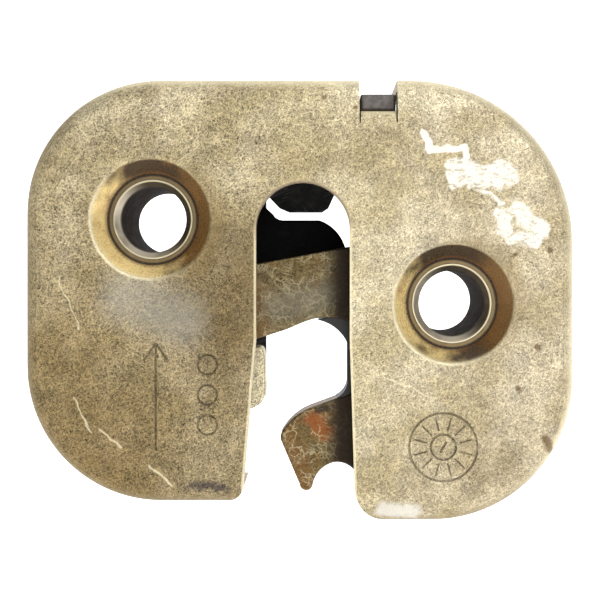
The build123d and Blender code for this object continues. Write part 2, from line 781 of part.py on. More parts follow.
with BuildPart() as release_lever:
    with BuildSketch(layer(lever_front)):
        with Locations((release_x, release_z)):
            Circle(lever_eye_r + 0.6)
        with Locations(Location((release_x, release_z), release_angle)):
            Rectangle(
                release_arm + fork_reach,
                2 * fork_half,
                align=(Align.MIN, Align.CENTER),
            )
        with Locations(Location((release_x, release_z), rod_angle)):
            Rectangle(rod_reach, 2 * rod_hole_r + 2.6, align=(Align.MIN, Align.CENTER))
        with Locations((release_rod_x, release_rod_z)):
            Circle(rod_hole_r + 1.9)
        with Locations((release_x, release_z)):
            Circle(rivet_r + turn_fit, mode=Mode.SUBTRACT)
        with Locations((release_rod_x, release_rod_z)):
            Circle(rod_hole_r, mode=Mode.SUBTRACT)
        with Locations(Location((pin_x, pin_z), release_angle)):
            Circle(pin_r + pin_play + 0.3, mode=Mode.SUBTRACT)
            Rectangle(
                fork_reach * 2,
                2 * (pin_r + pin_play),
                align=(Align.MIN, Align.CENTER),
                mode=Mode.SUBTRACT,
            )
    extrude(amount=-lever_thick)
    for face_depth in (lever_front, lever_rear):
        fillet(rim_edges(release_lever, face_depth), lever_edge)
    with Locations(along_y(release_peg_at[0], release_peg_at[1], lever_rear - 1)):
        Cylinder(lever_peg_r, peg_end + 1 - lever_rear, align=base)

release_lever.part.label = "release_lever"
export_step(release_lever.part, "parts/release_lever.step")


# ---------------------------------------------------------------- rod clips
def rod_clip(x, z):
    """A snap-in plastic bush for a control rod: a barrel in the lever's eye between two collars."""
    collar = 0.8
    with BuildPart() as body:
        with Locations(along_y(x, z, lever_front - washer_thick)):
            Cylinder(rod_hole_r + 0.7, washer_thick, align=base)
        with Locations(along_y(x, z, lever_front)):
            Cylinder(rod_hole_r - seat_fit, lever_thick, align=base)
        with Locations(along_y(x, z, lever_rear)):
            Cylinder(rod_hole_r + 1.4, collar, align=base)
            Cylinder(rod_hole_r + 0.6, collar + 1.6, align=base)
        with Locations(along_y(x, z, lever_front - 1)):
            Cylinder(rod_hole_r - 0.7, lever_thick + 5, align=base, mode=Mode.SUBTRACT)
    return body.part


release_rod_clip = rod_clip(release_rod_x, release_rod_z)
release_rod_clip.label = "release_rod_clip"
export_step(release_rod_clip, "parts/release_rod_clip.step")

# ---------------------------------------------------------------- locking lever
lock_rod_x, lock_rod_z = on_circle(lock_x, lock_z, lock_arm, lock_rod_angle)

with BuildPart() as lock_lever:
    with BuildSketch(layer(lever_front)):
        with Locations((lock_x, lock_z)):
            Circle(lever_eye_r)
        with Locations(Location((lock_x, lock_z), lock_rod_angle)):
            Rectangle(lock_arm, 2 * rod_hole_r + 2.4, align=(Align.MIN, Align.CENTER))
        with Locations((lock_rod_x, lock_rod_z)):
            Circle(rod_hole_r + 1.9)
        with Locations(Location((lock_x, lock_z), lock_tail_angle)):
            Rectangle(lock_tail, 4.4, align=(Align.MIN, Align.CENTER))
        with Locations((lock_peg_x, lock_peg_z)):
            Circle(2.2)
        with Locations((lock_x, lock_z)):
            Circle(rivet_r + turn_fit, mode=Mode.SUBTRACT)
        with Locations((lock_rod_x, lock_rod_z)):
            Circle(rod_hole_r, mode=Mode.SUBTRACT)
    extrude(amount=-lever_thick)
    for face_depth in (lever_front, lever_rear):
        fillet(rim_edges(lock_lever, face_depth), lever_edge)
    with Locations(along_y(lock_peg_x, lock_peg_z, lever_rear - 1)):
        Cylinder(lever_peg_r, peg_end + 1 - lever_rear, align=base)

lock_lever.part.label = "lock_lever"
export_step(lock_lever.part, "parts/lock_lever.step")

lock_rod_clip = rod_clip(lock_rod_x, lock_rod_z)
lock_rod_clip.label = "lock_rod_clip"
export_step(lock_rod_clip, "parts/lock_rod_clip.step")

# ---------------------------------------------------------------- lever springs
release_turns = 2 + (release_leg_angle - release_post_angle) / 360
release_spring = spring_seat(
    release_x, release_z, lever_rear + release_spring_room - small_wire_r - 0.15, release_post_angle
)
release_spring = release_spring * torsion_spring(
    release_coil_r, small_wire_r, release_turns, release_post_leg + 1, release_leg + 1
)
release_spring.label = "release_spring"
export_step(release_spring, "parts/release_spring.step")

# over-centre spring: its coil hangs free between the post's leg and the lever's leg
lock_wire_clear = lever_peg_r + small_wire_r + leg_gap
lock_post_leg_angle, lock_post_leg = aimed_leg(
    lock_coil_x, lock_coil_z, lock_coil_r, lock_post_x, lock_post_z - lock_wire_clear, -1
)
lock_tail_leg_angle, lock_tail_leg = aimed_leg(
    lock_coil_x, lock_coil_z, lock_coil_r, lock_peg_x, lock_peg_z - lock_wire_clear, 1
)
lock_turns = 3 + (lock_tail_leg_angle - lock_post_leg_angle) / 360
lock_spring = spring_seat(
    lock_coil_x, lock_coil_z, lever_rear + release_spring_room - 0.2, lock_post_leg_angle
)
lock_spring = lock_spring * torsion_spring(
    lock_coil_r, small_wire_r, lock_turns, lock_post_leg, lock_tail_leg
)
lock_spring.label = "lock_spring"
export_step(lock_spring, "parts/lock_spring.step")
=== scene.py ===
"""Looks of the rotary-claw door latch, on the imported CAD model. Laid out as an add-on, run as a script."""

from math import pi, radians

import bpy
import numpy as np
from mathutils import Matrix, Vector


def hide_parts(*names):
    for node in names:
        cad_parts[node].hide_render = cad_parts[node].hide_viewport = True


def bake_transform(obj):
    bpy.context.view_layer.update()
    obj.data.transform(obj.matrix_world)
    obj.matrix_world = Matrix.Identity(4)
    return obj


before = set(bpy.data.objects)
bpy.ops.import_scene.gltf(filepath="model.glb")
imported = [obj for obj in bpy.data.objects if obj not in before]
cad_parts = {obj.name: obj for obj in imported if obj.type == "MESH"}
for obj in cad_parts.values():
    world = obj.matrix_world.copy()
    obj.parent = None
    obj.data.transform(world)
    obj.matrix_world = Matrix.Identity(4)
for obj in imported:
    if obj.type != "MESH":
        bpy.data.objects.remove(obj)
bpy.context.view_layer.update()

bl_info = {
    "name": "Rotary claw door latch",
    "version": (1, 0, 0),
    "blender": (4, 5, 0),
    "location": "View3D > Sidebar > Latch",
    "description": "Springs, finishes and stage of a rotary-claw door latch",
    "category": "Object",
}


def linear(code):
    """The linear RGB of an sRGB hex colour."""
    parts = np.array([int(code[at : at + 2], 16) for at in (1, 3, 5)]) / 255
    return tuple(np.where(parts <= 0.04045, parts / 12.92, ((parts + 0.055) / 1.055) ** 2.4).tolist())


def length(name, default, about):
    """A length property whose value is in millimetres."""
    return bpy.props.FloatProperty(name=name, description=about, default=default)


def colour(name, code, about):
    """A colour property given as sRGB hex."""
    return bpy.props.FloatVectorProperty(
        name=name, description=about, default=linear(code), size=3, subtype="COLOR", min=0, max=1
    )


# ------------------------------------------------------------------ sizes and colours
class LatchSizes(bpy.types.PropertyGroup):
    """Sizes in millimetres, in the latch's own frame."""

    claw_x: length("Claw axis X", 21.18, "Axis of the claw's bush")
    claw_z: length("Claw axis Z", -5.95, "Axis of the claw's bush")
    pawl_x: length("Pawl axis X", -21.18, "Axis of the pawl's bush")
    pawl_z: length("Pawl axis Z", 5.95, "Axis of the pawl's bush")
    dimple_rim: length("Dimple rim radius", 8.45, "Where a dimple's cone meets the front face")
    dimple_floor: length("Dimple floor radius", 6.5, "Where a dimple's cone ends at the bush")
    bush_radius: length("Bush radius", 6.2, "Outside of a bush at the front")
    mouth_radius: length("Mouth radius", 5.5, "Where a bush's front face turns into its mouth")
    bore_radius: length("Bore radius", 4.65, "Bore of a bush")
    slot_mid: length("Slot middle", 0.12, "Middle of the striker slot across the latch")
    slot_radius: length("Slot radius", 6.55, "Half the width of the striker slot")
    slot_arch: length("Slot arch height", 4.45, "Where the slot's sides turn into its arch")
    flare_top: length("Flare top", -10.7, "Where the slot's sides start to flare")
    left_flare: length("Left flare", 1.75, "How far the left side flares out at its foot")
    right_flare: length("Right flare", 0.65, "How far the right side flares out at its foot")
    flare_run: length("Flare run", 20.4, "Height over which the sides flare")
    grain: length("Grain", 0.34, "Blobs of the speckle on the worn zinc")


class LatchColours(bpy.types.PropertyGroup):
    """Colours of the finishes."""

    zinc_pale: colour("Pale zinc", "#c2b798", "Yellow passivated zinc where it is thin")
    zinc_mid: colour("Yellow zinc", "#ada07d", "Yellow passivated zinc")
    zinc_olive: colour("Olive zinc", "#877c5e", "Passivation that is thick and greenish")
    zinc_grey: colour("Grey zinc", "#a39b89", "Passivation rubbed down to grey zinc")
    zinc_orange: colour("Orange zinc", "#b3955a", "Thick orange passivation in the dimples")
    # bright burr and scratches; also used as painted highlight on the cover's rim and the dimples' rims
    bright_wear_and_highlight: colour("Cut edge", "#f0e4bf", "Bright burr along a punched edge")
    stain_brown: colour("Brown stain", "#5f4526", "Old grease and rust")
    # dark dirt; also used as painted shade in the stamped grooves and round the bushes' outer edge
    dirt_and_shade: colour("Grime", "#2c2520", "Dark dirt in grooves and corners")
    paint: colour("White paint", "#e9e3d6", "Inspector's white paint marks")
    smudge: colour("Dark smudge", "#2a2230", "Purple-black smudge")
    bare: colour("Bare steel", "#d3cfc6", "Steel where the plating has gone")
    phosphate: colour("Phosphate", "#111010", "Black phosphated steel")
    sheared: colour("Sheared steel", "#67625f", "Grey sheared face of the lug")
    turned: colour("Turned steel", "#6e6658", "Turned steel of the bushes")
    bright: colour("Bright zinc", "#bdbab2", "Bright zinc plated pins and rivets")
    wire: colour("Spring wire", "#6d6a68", "Drawn spring wire with a film of oil")
    plastic: colour("Black plastic", "#111111", "Moulded lining of the claw")
    rubber: colour("Black rubber", "#050505", "Moulded buffer")
    acetal: colour("Acetal", "#e4e1d4", "Natural acetal of the rod clips")


class StageSizes(bpy.types.PropertyGroup):
    """Floor, lights and camera, in metres and watts."""

    floor_z: bpy.props.FloatProperty(name="Floor", description="Height of the floor", default=-0.052, unit="LENGTH")
    floor_reach: bpy.props.FloatProperty(name="Reach", description="Half the sweep", default=3.0, unit="LENGTH")
    sweep_y: bpy.props.FloatProperty(name="Sweep", description="Where the sweep rises", default=0.45, unit="LENGTH")
    sweep_r: bpy.props.FloatProperty(name="Curve", description="Radius of the sweep", default=0.25, unit="LENGTH")
    key: bpy.props.FloatProperty(name="Key light", description="Power of the key softbox", default=2.7, unit="POWER")
    top: bpy.props.FloatProperty(name="Top light", description="Power of the top softbox", default=1.9, unit="POWER")
    fill: bpy.props.FloatProperty(name="Fill", description="Power of the left softbox", default=0.35, unit="POWER")
    world: bpy.props.FloatProperty(name="Surroundings", description="Brightness of the surroundings", default=0.22)
    lens: bpy.props.FloatProperty(name="Lens", description="Focal length", default=62.4, unit="CAMERA")
    shift_x: bpy.props.FloatProperty(name="Shift X", description="Sideways shift", default=-0.0416)
    shift_y: bpy.props.FloatProperty(name="Shift Y", description="Upward shift", default=-0.0583)
    camera: bpy.props.FloatVectorProperty(
        name="Camera",
        description="Place of the camera",
        default=(0.0032, -0.145, -0.0005),
        size=3,
        subtype="TRANSLATION",
    )


# ------------------------------------------------------------------ material nodes
# the way that the painted light comes from: walls that face it are painted paler and brighter, walls that face away
# darker
PAINTED_LIGHT_DIRECTION = (0.8, 0.0, 0.6)
# spacing of the lathe's rings in millimetres, drawn coarse enough to show
LATHE_FEED = 0.16
# rise of a coil per turn, in wire radii
COIL_RISE = 2.1
# how a kind of node is set when nothing else is said
USUAL = {
    "MapRange": {"interpolation_type": "SMOOTHSTEP"},
    "Mix": {"data_type": "RGBA"},
    "TexVoronoi": {"feature": "DISTANCE_TO_EDGE"},
    "VectorRotate": {"rotation_type": "AXIS_ANGLE"},
}


class Graph:
    """The nodes of one material. Each method adds nodes and gives what comes out of them."""

    def __init__(self, name):
        self.material = bpy.data.materials.new(name)
        self.material.use_nodes = True
        self.tree = self.material.node_tree
        self.tree.nodes.clear()
        _, self.normal, _, place = self.add("TexCoord", out=slice(4))
        self.normal_x, self.normal_y, self.normal_z = self.add("SeparateXYZ", self.normal, out=slice(3))
        self.where = self.add("VectorMath.SCALE", place, 1000.0)
        self.x, self.y, self.z = self.add("SeparateXYZ", self.where, out=slice(3))

    def add(self, kind, *values, out=None, sockets=None, **settings):
        """Add a node with its settings and links, and give its first open output, or the one that out names.

        A kind may carry its operation, as in Math.ADD. Values go to the open inputs in order, and
        sockets gives others by name.
        """
        kind, _, operation = kind.partition(".")
        made = self.tree.nodes.new("ShaderNode" + kind)
        if operation:
            made.operation = operation
        for key, value in (USUAL.get(kind, {}) | settings).items():
            setattr(made, key, value)
        given = list(zip([socket for socket in made.inputs if socket.enabled], values))
        given += [(made.inputs[key], value) for key, value in (sockets or {}).items()]
        for socket, value in given:
            if isinstance(value, bpy.types.NodeSocket):
                self.tree.links.new(value, socket)
            else:
                socket.default_value = (*value[:3], 1.0) if socket.type == "RGBA" else value
        if out is not None:
            return made.outputs[out]
        return next((socket for socket in made.outputs if socket.enabled), None)

    def noise(self, size, detail=2.0, where=None, shift=0.0, roughness=0.5):
        """Noise from 0 to 1 with blobs of a size in millimetres."""
        moved = self.add("VectorMath.ADD", where or self.where, (shift, shift * 1.7, shift * 0.6))
        return self.add("TexNoise", moved, 1 / size, detail, roughness)

    def scratches(self, angle, run, width, shift, share=0.5):
        """Straight marks of a run and width in millimetres at an angle from +X, 1 on a mark."""
        turned = self.add("VectorRotate", self.where, (0, 0, 0), (0, 1, 0), radians(angle))
        long = self.add("VectorMath.MULTIPLY", turned, (1 / run, 1 / width, 1 / width))
        off_middle = self.add("Math.SUBTRACT", self.noise(1.0, 1.0, long, shift), 0.5)
        line = self.add("MapRange", self.add("Math.ABSOLUTE", off_middle), 0.0, 0.03, 1.0, 0.0)
        patch = self.noise(run * 0.8, 1.0, None, shift + 3)
        return self.add("Math.MULTIPLY", line, self.add("MapRange", patch, 0.62 - share * 0.3, 0.7 - share * 0.2))

    def crackle(self, size, shift):
        """A broken net of thin crossing lines, cells of a size in millimetres, 1 on a line."""
        bent = self.add("VectorMath.SCALE", self.add("TexNoise", self.where, 1.3, out="Color"), 1.1)
        where = self.add("VectorMath.ADD", self.add("VectorMath.ADD", self.where, bent), (shift, shift, shift))
        line = self.add("MapRange", self.add("TexVoronoi", where, 1 / size), 0.015, 0.085, 1.0, 0.0)
        return self.add("Math.MULTIPLY", line, self.add("MapRange", self.noise(2.2, 2.0, None, shift), 0.4, 0.6))

    def tint(self, base, code, share=1.0):
        """A colour multiplied by an sRGB hex colour, by a share."""
        return self.add("Mix", share, base, linear(code), blend_type="MULTIPLY")

    def reach(self, x, z):
        """Distance in millimetres from an axis along Y."""
        flat = self.add("VectorMath.MULTIPLY", self.where, (1, 0, 1))
        return self.add("VectorMath.LENGTH", self.add("VectorMath.SUBTRACT", flat, (x, 0, z)))

    def stroke(self, start, end, radius, edge=0.35, ragged=0.0, bend=0.0):
        """A stroke on the front face between two points (x, z), 1 inside, bent a little, with a ragged rim."""
        run = Vector((end[0] - start[0], 0.0, end[1] - start[1]))
        flat = self.add("VectorMath.MULTIPLY", self.where, (1, 0, 1))
        if bend:
            drift = self.add("TexNoise", self.where, 0.4, 1.0, out="Color")
            drift = self.add("VectorMath.SUBTRACT", drift, (0.5, 0.5, 0.5))
            drift = self.add("VectorMath.MULTIPLY", drift, (bend, 0, bend))
            flat = self.add("VectorMath.ADD", flat, drift)
        from_start = self.add("VectorMath.SUBTRACT", flat, (start[0], 0, start[1]))
        along = self.add("VectorMath.DOT_PRODUCT", from_start, tuple(run / max(run.length_squared, 1e-6)))
        along = self.add("Math.MULTIPLY", along, 1.0, use_clamp=True)
        nearest = self.add("VectorMath.SCALE", tuple(run), along)
        away = self.add("VectorMath.LENGTH", self.add("VectorMath.SUBTRACT", from_start, nearest))
        if ragged:
            uneven = self.add("Math.SUBTRACT", self.noise(0.9, 3.0), 0.5)
            away = self.add("Math.ADD", away, self.add("Math.MULTIPLY", uneven, ragged))
        return self.add("MapRange", away, radius - edge, radius + edge, 1.0, 0.0)

    def strokes(self, rows):
        """The strongest of some strokes."""
        return self.any_of(*(self.stroke(*row) for row in rows))

    def any_of(self, *masks):
        """The strongest of some masks."""
        result = masks[0]
        for mask in masks[1:]:
            result = self.add("Math.MAXIMUM", result, mask)
        return result

    def front(self):
        """1 on faces that look straight at the front."""
        return self.add("MapRange", self.normal_y, -0.995, -0.93, 1.0, 0.0)

    def finish(self, base, metallic, rough, height=None, relief=0.0, **more):
        """The surface shader; relief is the height in millimetres of the bumps."""
        inputs = {"Base Color": base, "Metallic": metallic, "Roughness": rough}
        inputs |= {key.replace("_", " ").title().replace("Ior", "IOR"): value for key, value in more.items()}
        if height is not None:
            bump = {"Height": height, "Distance": relief / 1000, "Strength": 1.0}
            inputs["Normal"] = self.add("Bump", sockets=bump)
        self.add("OutputMaterial", self.add("BsdfPrincipled", sockets=inputs))
        return self.material


def dress(material, *nodes):
    """Give CAD nodes a material in every one of their material slots."""
    for name in nodes:
        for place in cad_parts[name].material_slots:
            place.material = material


def worn_zinc(graph, colours, grain, orange=0.0):
    """Speckled yellow passivated zinc: its colour, roughness and height."""
    broad = graph.noise(9.0, 2.0)
    patch = graph.noise(3.4, 3.0, None, 7.0)
    speck = graph.noise(grain, 3.0, None, 2.0, 0.65)
    fine = graph.noise(grain * 0.62, 2.0, None, 5.0, 0.7)
    base = graph.add("Mix", graph.add("MapRange", broad, 0.38, 0.62), colours.zinc_mid, colours.zinc_pale)
    base = graph.add("Mix", graph.add("MapRange", patch, 0.5, 0.75, 0.0, 0.4), base, colours.zinc_grey)
    thick = graph.add("MapRange", graph.noise(5.0, 2.0, None, 13.0), 0.52, 0.78, 0.0, 0.35)
    base = graph.add("Mix", thick, base, colours.zinc_olive)
    if orange:
        base = graph.add("Mix", orange, base, colours.zinc_orange)
    marks = graph.any_of(
        graph.scratches(12, 4.5, 0.3, 1.0, 0.9),
        graph.scratches(-38, 3.5, 0.26, 4.0, 0.9),
        graph.scratches(63, 4.0, 0.3, 9.0, 0.9),
        graph.scratches(-74, 3.2, 0.26, 12.0, 0.9),
        graph.scratches(31, 2.6, 0.26, 33.0, 0.9),
        graph.add("Math.MULTIPLY", graph.crackle(0.9, 6.0), 0.8),
    )
    light = graph.add("MapRange", speck, 0.4, 0.6, -0.15, 0.15)
    light = graph.add("Math.ADD", light, graph.add("MapRange", fine, 0.38, 0.62, -0.22, 0.24))
    dark = graph.any_of(
        graph.add("Math.MULTIPLY", graph.crackle(0.7, 15.0), 0.8),
        graph.scratches(-15, 3.2, 0.26, 22.0, 0.9),
        graph.scratches(40, 3.0, 0.25, 27.0, 0.9),
        graph.scratches(80, 2.6, 0.25, 37.0, 0.9),
    )
    light = graph.add("Math.ADD", light, graph.add("Math.MULTIPLY", marks, 0.62))
    light = graph.add("Math.SUBTRACT", light, graph.add("Math.MULTIPLY", dark, 0.42))
    light = graph.add("Math.MULTIPLY", light, graph.add("MapRange", graph.x, 12.0, -16.0, 1.0, 1.4))
    base = graph.add("Mix", 1.0, base, graph.add("Math.ADD", light, 0.97), blend_type="MULTIPLY")
    rough = graph.add("MapRange", speck, 0.3, 0.7, 0.52, 0.38)
    rough = graph.add("Math.ADD", rough, graph.add("Math.MULTIPLY", marks, -0.06))
    cut = graph.add("Math.MULTIPLY", graph.any_of(marks, dark), 0.35)
    height = graph.add("Math.SUBTRACT", speck, cut)
    return base, rough, height


# ------------------------------------------------------------------ wear on the cover
# each row is a stroke: its start and end (x, z), radius, soft edge, raggedness and bend, in millimetres
SCORES = (
    ((-31.5, -19.2), (-29.6, -23.9), 0.1, 0.12, 0.25, 1.6),
    ((-28.3, -23.4), (-25.1, -25.8), 0.12, 0.14, 0.3, 1.6),
    ((-21.3, -28.5), (-18.1, -31.2), 0.16, 0.14, 0.35, 1.6),
    ((-34.0, -2.0), (-31.0, -9.5), 0.05, 0.09, 0.2, 1.6),
    ((12.0, -16.5), (18.5, -19.0), 0.05, 0.09, 0.2, 1.6),
)
CHIPS = (
    ((33.9, -24.6), (34.7, -26.3), 0.5, 0.3, 0.9),
    ((32.8, -11.9), (32.9, -12.0), 0.42, 0.2, 0.4),
    ((30.1, -17.7), (30.3, -17.8), 0.34, 0.2, 0.4),
    ((29.6, 0.9), (29.7, 0.9), 0.3, 0.2, 0.3),
    ((34.5, 1.6), (34.6, 1.5), 0.34, 0.2, 0.3),
    ((2.9, 22.9), (3.1, 22.9), 0.3, 0.2, 0.3),
    ((7.4, 21.5), (7.5, 21.5), 0.28, 0.2, 0.3),
)
# white paint: an open stroke, then a smear, some streaks and a dab, none of them a letter or figure
PAINT_LINES = (
    ((16.8, 18.3), (18.0, 15.8), 0.62, 0.15, 0.5, 2.4),
    ((18.0, 15.8), (22.6, 16.0), 0.6, 0.15, 0.5, 2.4),
    ((22.8, 15.6), (23.0, 13.2), 0.5, 0.2, 0.6, 2.4),
)
PAINT_SMEARS = (
    ((21.8, 12.2), (28.6, 11.9), 1.75, 0.35, 1.6, 3.0),
    ((24.6, 9.9), (27.8, 8.3), 0.35, 0.25, 0.8, 2.4),
    ((27.6, 6.6), (28.4, 4.4), 0.9, 0.3, 1.2, 2.4),
    ((30.0, 7.2), (33.2, 4.4), 1.35, 0.35, 1.2, 2.4),
    ((29.4, 3.2), (33.0, 3.0), 0.75, 0.3, 1.0, 2.4),
)


def shaded_sheet(graph, base):
    """The sheet with painted shade, darker and browner to the left, low down and at the foot, as if lit from the top
    right; cooler to the right.
    """
    # painted shade: darker and browner to the left and low down, as if lit from the top right
    left = graph.add("MapRange", graph.x, -34.0, 18.0, 1.0, 0.0)
    low = graph.add("MapRange", graph.z, -26.0, 24.0, 1.0, 0.33)
    left_low_shade = graph.add("Math.MULTIPLY", left, low)
    base = graph.tint(base, "#a89a80", left_low_shade)
    # painted shade: darker at the foot
    base = graph.tint(base, "#c9bfae", graph.add("MapRange", graph.z, -14.0, -34.0, 0.0, 0.3))
    base = graph.tint(base, "#e4e0e6", graph.add("MapRange", graph.x, 0.0, 26.0, 0.0, 0.5))
    crown = graph.stroke((-9.0, 18.5), (7.0, 16.5), 5.5, 4.5, 3.0)
    base = graph.tint(base, "#b4a888", graph.add("Math.MULTIPLY", crown, 0.38))
    lower = graph.add("MapRange", graph.z, 14.0, 0.0)
    lower = graph.add("Math.MULTIPLY", lower, graph.add("MapRange", graph.z, -34.0, -20.0))
    lower = graph.add("Math.MULTIPLY", lower, graph.add("MapRange", graph.x, 6.0, 20.0, 0.0, 0.15))
    base = graph.tint(base, "#dcd8d2", lower)
    # painted shade on the left leg
    leg = graph.add("MapRange", graph.x, -26.0, -8.0)
    leg = graph.add("Math.MULTIPLY", leg, graph.add("MapRange", graph.x, 2.0, -7.0))
    leg = graph.add("Math.MULTIPLY", leg, graph.add("MapRange", graph.z, 16.0, -4.0, 0.0, 0.95))
    leg = graph.add("Math.MULTIPLY", leg, graph.add("MapRange", graph.z, -22.0, -8.0, 0.35, 1.0))
    base = graph.tint(base, "#a89b84", leg)
    grey = graph.stroke((-24.5, -5.0), (-17.0, -8.0), 3.4, 2.6, 3.0)
    return graph.add("Mix", graph.add("Math.MULTIPLY", grey, 0.45), base, linear("#9c9b92"))


def rolled_edge(graph, colours, base, facing_light):
    """The bent rim with painted light: pale as if lit at the top and right, dark olive as if shaded at the left and
    bottom.
    """
    # painted light and shade on the rim, by how it faces the top right
    rim_painted_light = graph.add("Mix", graph.add("MapRange", facing_light, -0.1, 0.35), linear("#7c6c44"), colours.bright_wear_and_highlight)
    bent = graph.add("MapRange", graph.normal_y, -0.97, -0.6, 0.0, 0.5)
    base = graph.add("Mix", bent, base, rim_painted_light)
    wall = graph.add("MapRange", graph.normal_y, -0.35, -0.05, 0.0, 0.35)
    return graph.add("Mix", wall, base, colours.zinc_mid)


def dimples(graph, sizes, colours, base, facing_light):
    """Smoother dimples, gold to brown with painted shade on the walls that face away from the top right, a painted
    highlight on the rim and a darker halo; also gives where their cones are.
    """
    rim, floor = sizes.dimple_rim, sizes.dimple_floor
    to_claw = graph.reach(sizes.claw_x, sizes.claw_z)
    to_pawl = graph.reach(sizes.pawl_x, sizes.pawl_z)
    near = graph.add("Math.MINIMUM", to_claw, to_pawl)
    cone = graph.add("MapRange", near, rim + 0.25, rim - 0.25)
    cone = graph.add("Math.MULTIPLY", cone, graph.add("MapRange", graph.y, 0.02, 0.35))
    # painted shade: the gold darkens on the walls that face away from the top right and low on the claw's dimple,
    # over a random film
    film = graph.add("Math.ADD", graph.noise(2.6, 3.0, None, 21.0), graph.add("Math.MULTIPLY", facing_light, -0.75))
    lower_wall = graph.add("MapRange", graph.normal_z, 0.2, 0.6, 0.05, 0.34)
    claw_side = graph.add("MapRange", graph.x, -5.0, 5.0)
    film = graph.add("Math.ADD", film, graph.add("Math.MULTIPLY", claw_side, lower_wall))
    gold = graph.add("Mix", graph.add("MapRange", film, 0.08, 0.66), linear("#e4c988"), linear("#3d2c1a"))
    rust = graph.add("MapRange", graph.noise(3.0, 3.0, None, 25.0), 0.52, 0.74, 0.0, 0.4)
    gold = graph.add("Mix", rust, gold, linear("#8f5f2c"))
    # painted shade on the dimple walls that face left
    right_wall_shade = graph.add("MapRange", graph.normal_x, -0.3, -0.6, 0.0, 0.6)
    gold = graph.add("Mix", right_wall_shade, gold, linear("#86602e"))
    brown_ring = graph.add("MapRange", near, floor + 0.4, floor + 0.1, 0.0, 0.55)
    gold = graph.add("Mix", brown_ring, gold, linear("#6b4420"))
    # painted shade, near black, in the slit between the cone and the bush
    painted_gap_shade = graph.add("MapRange", near, floor + 0.08, floor - 0.08, 0.0, 0.92)
    gold = graph.add("Mix", painted_gap_shade, gold, linear("#140e09"))
    base = graph.add("Mix", graph.add("Math.MULTIPLY", cone, 0.96), base, gold)
    beyond_pawl = graph.stroke((-15.6, 9.8), (-12.8, 3.6), 5.2, 4.2, 2.0)
    beyond_claw = graph.stroke((25.4, -0.6), (28.2, -7.4), 5.0, 4.2, 2.0)
    halo = graph.any_of(beyond_pawl, beyond_claw)
    halo = graph.add("Math.MULTIPLY", halo, graph.add("MapRange", near, rim + 3.45, rim + 0.55))
    outside = graph.add("Math.SUBTRACT", 0.42, graph.add("Math.MULTIPLY", cone, 0.42))
    base = graph.add("Mix", graph.add("Math.MULTIPLY", halo, outside), base, linear("#80683a"))
    # painted highlight on the rim's walls that face the top right
    worn = graph.add("MapRange", near, rim - 0.55, rim - 0.05)
    worn = graph.add("Math.MULTIPLY", worn, graph.add("MapRange", near, rim + 0.5, rim + 0.15))
    worn = graph.add("Math.MULTIPLY", worn, graph.add("MapRange", facing_light, -0.1, 0.45, 0.0, 0.65))
    return graph.add("Mix", worn, base, colours.bright_wear_and_highlight), cone


def slot_edge(graph, sizes, colours, base):
    """A bright burr round the striker slot and brown stain on its arch."""
    across = graph.add("Math.SUBTRACT", graph.x, sizes.slot_mid)
    above = graph.add("Math.MAXIMUM", graph.add("Math.SUBTRACT", graph.z, sizes.slot_arch), 0.0)
    squares = [graph.add("Math.MULTIPLY", part, part) for part in (across, above)]
    away = graph.add("Math.SQRT", graph.add("Math.ADD", *squares))
    below = graph.add("Math.SUBTRACT", sizes.flare_top, graph.z)
    run = graph.add("Math.DIVIDE", below, sizes.flare_run, use_clamp=True)
    right = graph.add("Math.GREATER_THAN", across, 0.0)
    flare = graph.add("Math.MULTIPLY", right, sizes.right_flare - sizes.left_flare)
    flare = graph.add("Math.MULTIPLY", graph.add("Math.ADD", flare, sizes.left_flare), run)
    edge = graph.add("Math.SUBTRACT", graph.add("Math.SUBTRACT", away, sizes.slot_radius), flare)
    burr = graph.add("MapRange", edge, 0.42, 0.2, 0.0, 0.6)
    burr = graph.add("Math.MULTIPLY", burr, graph.add("MapRange", graph.z, -35.5, -33.5))
    burr = graph.add("Math.MULTIPLY", burr, graph.add("MapRange", graph.y, 0.9, 0.2))
    base = graph.add("Mix", burr, base, colours.bright_wear_and_highlight)
    arch = graph.add("MapRange", edge, 0.45, 0.15, 0.0, 0.7)
    arch = graph.add("Math.MULTIPLY", arch, graph.add("MapRange", graph.z, 2.0, 7.0))
    return graph.add("Mix", arch, base, colours.stain_brown)


def dirt_and_scores(graph, colours, base):
    """Dirt and painted shade in the stamped grooves, a smudge, scores, chips and bare steel at the foot of the right
    leg.
    """
    # dirt and painted shade darken the floors of the stamped grooves
    groove_dirt_and_shade = graph.add("MapRange", graph.y, 0.07, 0.12)
    groove_dirt_and_shade = graph.add("Math.MULTIPLY", groove_dirt_and_shade, graph.add("MapRange", graph.y, 0.3, 0.22, 0.0, 0.5))
    groove_dirt_and_shade = graph.add("Math.MULTIPLY", groove_dirt_and_shade, graph.front())
    smudge = graph.stroke((-15.6, -31.2), (-10.6, -31.6), 0.55, 0.6, 2.4)
    bare = graph.stroke((11.4, -34.6), (15.6, -34.9), 1.0, 0.5, 1.4)
    base = graph.add("Mix", groove_dirt_and_shade, base, colours.dirt_and_shade)
    for mask, share, tone in (
        (smudge, 0.72, colours.smudge),
        (graph.strokes(SCORES), 0.6, colours.bright_wear_and_highlight),
        (graph.strokes(CHIPS), 0.75, colours.stain_brown),
        (bare, 0.8, colours.bare),
    ):
        base = graph.add("Mix", graph.add("Math.MULTIPLY", mask, share), base, tone)
    return base


def white_paint(graph):
    """Where brushed paint lies, thin where the brush ran dry."""
    drag = graph.add("VectorMath.MULTIPLY", graph.where, (0.9, 1.0, 2.2))
    dry = graph.add("MapRange", graph.noise(1.1, 4.0, drag, 31.0, 0.7), 0.36, 0.5, 0.25, 1.0)
    line = graph.add("Math.MULTIPLY", graph.strokes(PAINT_LINES), 0.92)
    smear = graph.add("Math.MULTIPLY", graph.add("Math.MULTIPLY", graph.strokes(PAINT_SMEARS), dry), 0.95)
    return graph.add("Math.MULTIPLY", graph.any_of(line, smear), graph.front())


